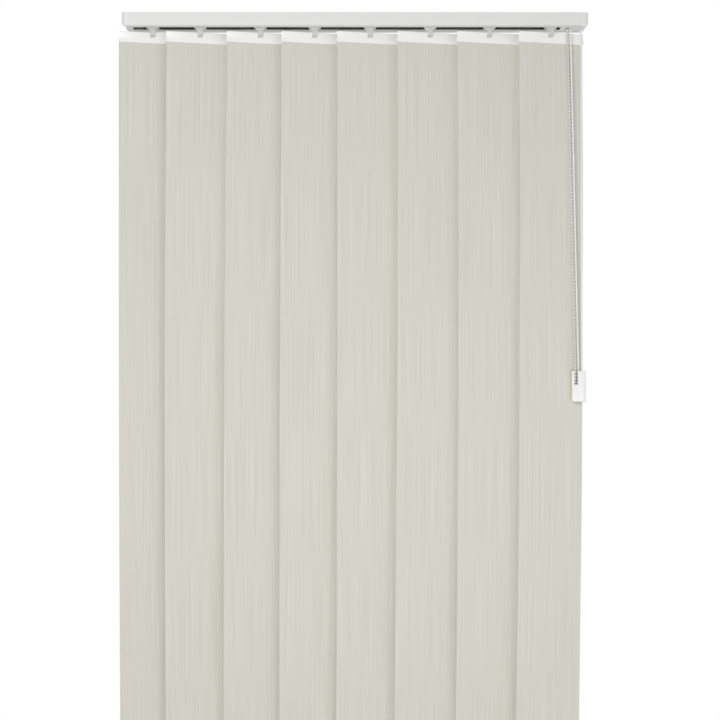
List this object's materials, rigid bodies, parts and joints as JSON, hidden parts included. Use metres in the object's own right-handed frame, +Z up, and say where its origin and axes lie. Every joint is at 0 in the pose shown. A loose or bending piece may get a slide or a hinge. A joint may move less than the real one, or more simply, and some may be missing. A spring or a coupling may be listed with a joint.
{
  "type": "vertical blind",
  "caption": "Vertical blind: upright cloth slats hung from carriers in a slim head rail, turned by a bead chain and drawn aside by a cord loop with a shared weight.",
  "frame": {"origin": "on the head rail's top face, half way along it, above the line that the slats turn about", "axes": "+X along the rail to the control end at the right, +Y from the front to the window behind, +Z up"},
  "size_m": [0.6227, 0.04, 1],
  "materials": {
    "rail_coat": "white powder coat, satin",
    "cap_plastic": "white moulded plastic, satin",
    "carrier_acetal": "light grey acetal, satin",
    "drive_nylon": "natural nylon",
    "hanger_plastic": "white moulded plastic, satin",
    "slat_cloth": "woven cloth with faint upright slubs, stiffened",
    "hem_steel": "plain sheet steel",
    "rod_aluminium": "mill finish",
    "cord_polyester": "white braided polyester",
    "chain_plastic": "white acetal beads moulded on a fine cord",
    "weight_plastic": "white moulded plastic"
  },
  "bodies": {
    "rail": {"head_rail": "rail_coat", "left_end_cap": "cap_plastic", "control_housing": "cap_plastic", "rail_cord": "cord_polyester", "draw_cord": "cord_polyester", "tilt_chain": "chain_plastic", "control_weight": "weight_plastic", "carrier_8": "carrier_acetal"},
    "rod": {"tilt_rod": "rod_aluminium", "rod_gear": "drive_nylon"},
    "wheel": {"chain_wheel": "drive_nylon"},
    "pulley": {"return_pulley": "drive_nylon"},
    "truck_1": {"carrier_1": "carrier_acetal"},
    "worm_1": {"drive_worm_1": "drive_nylon"},
    "vane_1": {"hook_1": "carrier_acetal", "hanger_1": "hanger_plastic", "slat_1": "slat_cloth", "bottom_weight_1": "hem_steel"},
    "truck_2": {"carrier_2": "carrier_acetal"},
    "worm_2": {"drive_worm_2": "drive_nylon"},
    "vane_2": {"hook_2": "carrier_acetal", "hanger_2": "hanger_plastic", "slat_2": "slat_cloth", "bottom_weight_2": "hem_steel"},
    "truck_3": {"carrier_3": "carrier_acetal"},
    "worm_3": {"drive_worm_3": "drive_nylon"},
    "vane_3": {"hook_3": "carrier_acetal", "hanger_3": "hanger_plastic", "slat_3": "slat_cloth", "bottom_weight_3": "hem_steel"},
    "truck_4": {"carrier_4": "carrier_acetal"},
    "worm_4": {"drive_worm_4": "drive_nylon"},
    "vane_4": {"hook_4": "carrier_acetal", "hanger_4": "hanger_plastic", "slat_4": "slat_cloth", "bottom_weight_4": "hem_steel"},
    "truck_5": {"carrier_5": "carrier_acetal"},
    "worm_5": {"drive_worm_5": "drive_nylon"},
    "vane_5": {"hook_5": "carrier_acetal", "hanger_5": "hanger_plastic", "slat_5": "slat_cloth", "bottom_weight_5": "hem_steel"},
    "truck_6": {"carrier_6": "carrier_acetal"},
    "worm_6": {"drive_worm_6": "drive_nylon"},
    "vane_6": {"hook_6": "carrier_acetal", "hanger_6": "hanger_plastic", "slat_6": "slat_cloth", "bottom_weight_6": "hem_steel"},
    "truck_7": {"carrier_7": "carrier_acetal"},
    "worm_7": {"drive_worm_7": "drive_nylon"},
    "vane_7": {"hook_7": "carrier_acetal", "hanger_7": "hanger_plastic", "slat_7": "slat_cloth", "bottom_weight_7": "hem_steel"},
    "worm_8": {"drive_worm_8": "drive_nylon"},
    "vane_8": {"hook_8": "carrier_acetal", "hanger_8": "hanger_plastic", "slat_8": "slat_cloth", "bottom_weight_8": "hem_steel"}
  },
  "joints": [
    {"name": "traverse", "type": "slide", "parent": "rail", "child": "truck_1", "axis": [1, 0, 0], "range_m": [0, 0.4]},
    {"name": "traverse_2", "type": "slide", "parent": "rail", "child": "truck_2", "axis": [1, 0, 0], "range_m": [0, 0.35528]},
    {"name": "traverse_3", "type": "slide", "parent": "rail", "child": "truck_3", "axis": [1, 0, 0], "range_m": [0, 0.29372]},
    {"name": "traverse_4", "type": "slide", "parent": "rail", "child": "truck_4", "axis": [1, 0, 0], "range_m": [0, 0.24]},
    {"name": "traverse_5", "type": "slide", "parent": "rail", "child": "truck_5", "axis": [1, 0, 0], "range_m": [0, 0.185]},
    {"name": "traverse_6", "type": "slide", "parent": "rail", "child": "truck_6", "axis": [1, 0, 0], "range_m": [0, 0.12344]},
    {"name": "traverse_7", "type": "slide", "parent": "rail", "child": "truck_7", "axis": [1, 0, 0], "range_m": [0, 0.0631]},
    {"name": "tilt", "type": "hinge", "parent": "truck_1", "child": "vane_1", "pos_m": [-0.2691, 0, -0.02], "axis": [0, 0, 1], "range_deg": [0, 152]},
    {"name": "worm_turn_1", "type": "hinge", "parent": "truck_1", "child": "worm_1", "pos_m": [-0.2691, 0.0106, -0.0095], "axis": [1, 0, 0], "range_deg": [0, 1824]},
    {"name": "tilt_2", "type": "hinge", "parent": "truck_2", "child": "vane_2", "pos_m": [-0.20588, 0, -0.02], "axis": [0, 0, 1], "range_deg": [0, 152]},
    {"name": "worm_turn_2", "type": "hinge", "parent": "truck_2", "child": "worm_2", "pos_m": [-0.20588, 0.0106, -0.0095], "axis": [1, 0, 0], "range_deg": [0, 1824]},
    {"name": "tilt_3", "type": "hinge", "parent": "truck_3", "child": "vane_3", "pos_m": [-0.12582, 0, -0.02], "axis": [0, 0, 1], "range_deg": [0, 152]},
    {"name": "worm_turn_3", "type": "hinge", "parent": "truck_3", "child": "worm_3", "pos_m": [-0.12582, 0.0106, -0.0095], "axis": [1, 0, 0], "range_deg": [0, 1824]},
    {"name": "tilt_4", "type": "hinge", "parent": "truck_4", "child": "vane_4", "pos_m": [-0.05359, 0, -0.02], "axis": [0, 0, 1], "range_deg": [0, 152]},
    {"name": "worm_turn_4", "type": "hinge", "parent": "truck_4", "child": "worm_4", "pos_m": [-0.05359, 0.0106, -0.0095], "axis": [1, 0, 0], "range_deg": [0, 1824]},
    {"name": "tilt_5", "type": "hinge", "parent": "truck_5", "child": "vane_5", "pos_m": [0.0199, 0, -0.02], "axis": [0, 0, 1], "range_deg": [0, 152]},
    {"name": "worm_turn_5", "type": "hinge", "parent": "truck_5", "child": "worm_5", "pos_m": [0.0199, 0.0106, -0.0095], "axis": [1, 0, 0], "range_deg": [0, 1824]},
    {"name": "tilt_6", "type": "hinge", "parent": "truck_6", "child": "vane_6", "pos_m": [0.09996, 0, -0.02], "axis": [0, 0, 1], "range_deg": [0, 152]},
    {"name": "worm_turn_6", "type": "hinge", "parent": "truck_6", "child": "worm_6", "pos_m": [0.09996, 0.0106, -0.0095], "axis": [1, 0, 0], "range_deg": [0, 1824]},
    {"name": "tilt_7", "type": "hinge", "parent": "truck_7", "child": "vane_7", "pos_m": [0.1788, 0, -0.02], "axis": [0, 0, 1], "range_deg": [0, 152]},
    {"name": "worm_turn_7", "type": "hinge", "parent": "truck_7", "child": "worm_7", "pos_m": [0.1788, 0.0106, -0.0095], "axis": [1, 0, 0], "range_deg": [0, 1824]},
    {"name": "tilt_8", "type": "hinge", "parent": "rail", "child": "vane_8", "pos_m": [0.2604, 0, -0.02], "axis": [0, 0, 1], "range_deg": [0, 152]},
    {"name": "worm_turn_8", "type": "hinge", "parent": "rail", "child": "worm_8", "pos_m": [0.2604, 0.0106, -0.0095], "axis": [1, 0, 0], "range_deg": [0, 1824]},
    {"name": "rod_turn", "type": "hinge", "parent": "rail", "child": "rod", "pos_m": [0, 0.0106, -0.0095], "axis": [1, 0, 0], "range_deg": [0, 1824]},
    {"name": "wheel_turn", "type": "hinge", "parent": "rail", "child": "wheel", "pos_m": [0.2823, 0, -0.0095], "axis": [1, 0, 0], "range_deg": [-1824, 0]},
    {"name": "pulley_turn", "type": "hinge", "parent": "rail", "child": "pulley", "pos_m": [-0.291, 0.021, -0.0095], "axis": [0, 1, 0], "range_deg": [0, 4982.3]}
  ],
  "couplings": [
    {"joint": "traverse_2", "follows": "traverse", "ratio": 0.88819},
    {"joint": "traverse_3", "follows": "traverse", "ratio": 0.73429},
    {"joint": "traverse_4", "follows": "traverse", "ratio": 0.59998},
    {"joint": "traverse_5", "follows": "traverse", "ratio": 0.4625},
    {"joint": "traverse_6", "follows": "traverse", "ratio": 0.3086},
    {"joint": "traverse_7", "follows": "traverse", "ratio": 0.15774},
    {"joint": "worm_turn_1", "follows": "tilt", "ratio": 12},
    {"joint": "tilt_2", "follows": "tilt", "ratio": 1},
    {"joint": "worm_turn_2", "follows": "tilt", "ratio": 12},
    {"joint": "tilt_3", "follows": "tilt", "ratio": 1},
    {"joint": "worm_turn_3", "follows": "tilt", "ratio": 12},
    {"joint": "tilt_4", "follows": "tilt", "ratio": 1},
    {"joint": "worm_turn_4", "follows": "tilt", "ratio": 12},
    {"joint": "tilt_5", "follows": "tilt", "ratio": 1},
    {"joint": "worm_turn_5", "follows": "tilt", "ratio": 12},
    {"joint": "tilt_6", "follows": "tilt", "ratio": 1},
    {"joint": "worm_turn_6", "follows": "tilt", "ratio": 12},
    {"joint": "tilt_7", "follows": "tilt", "ratio": 1},
    {"joint": "worm_turn_7", "follows": "tilt", "ratio": 12},
    {"joint": "tilt_8", "follows": "tilt", "ratio": 1},
    {"joint": "worm_turn_8", "follows": "tilt", "ratio": 12},
    {"joint": "rod_turn", "follows": "tilt", "ratio": 12},
    {"joint": "wheel_turn", "follows": "tilt", "ratio": -12},
    {"joint": "pulley_turn", "follows": "traverse", "rad_per_m": 217.39}
  ]
}
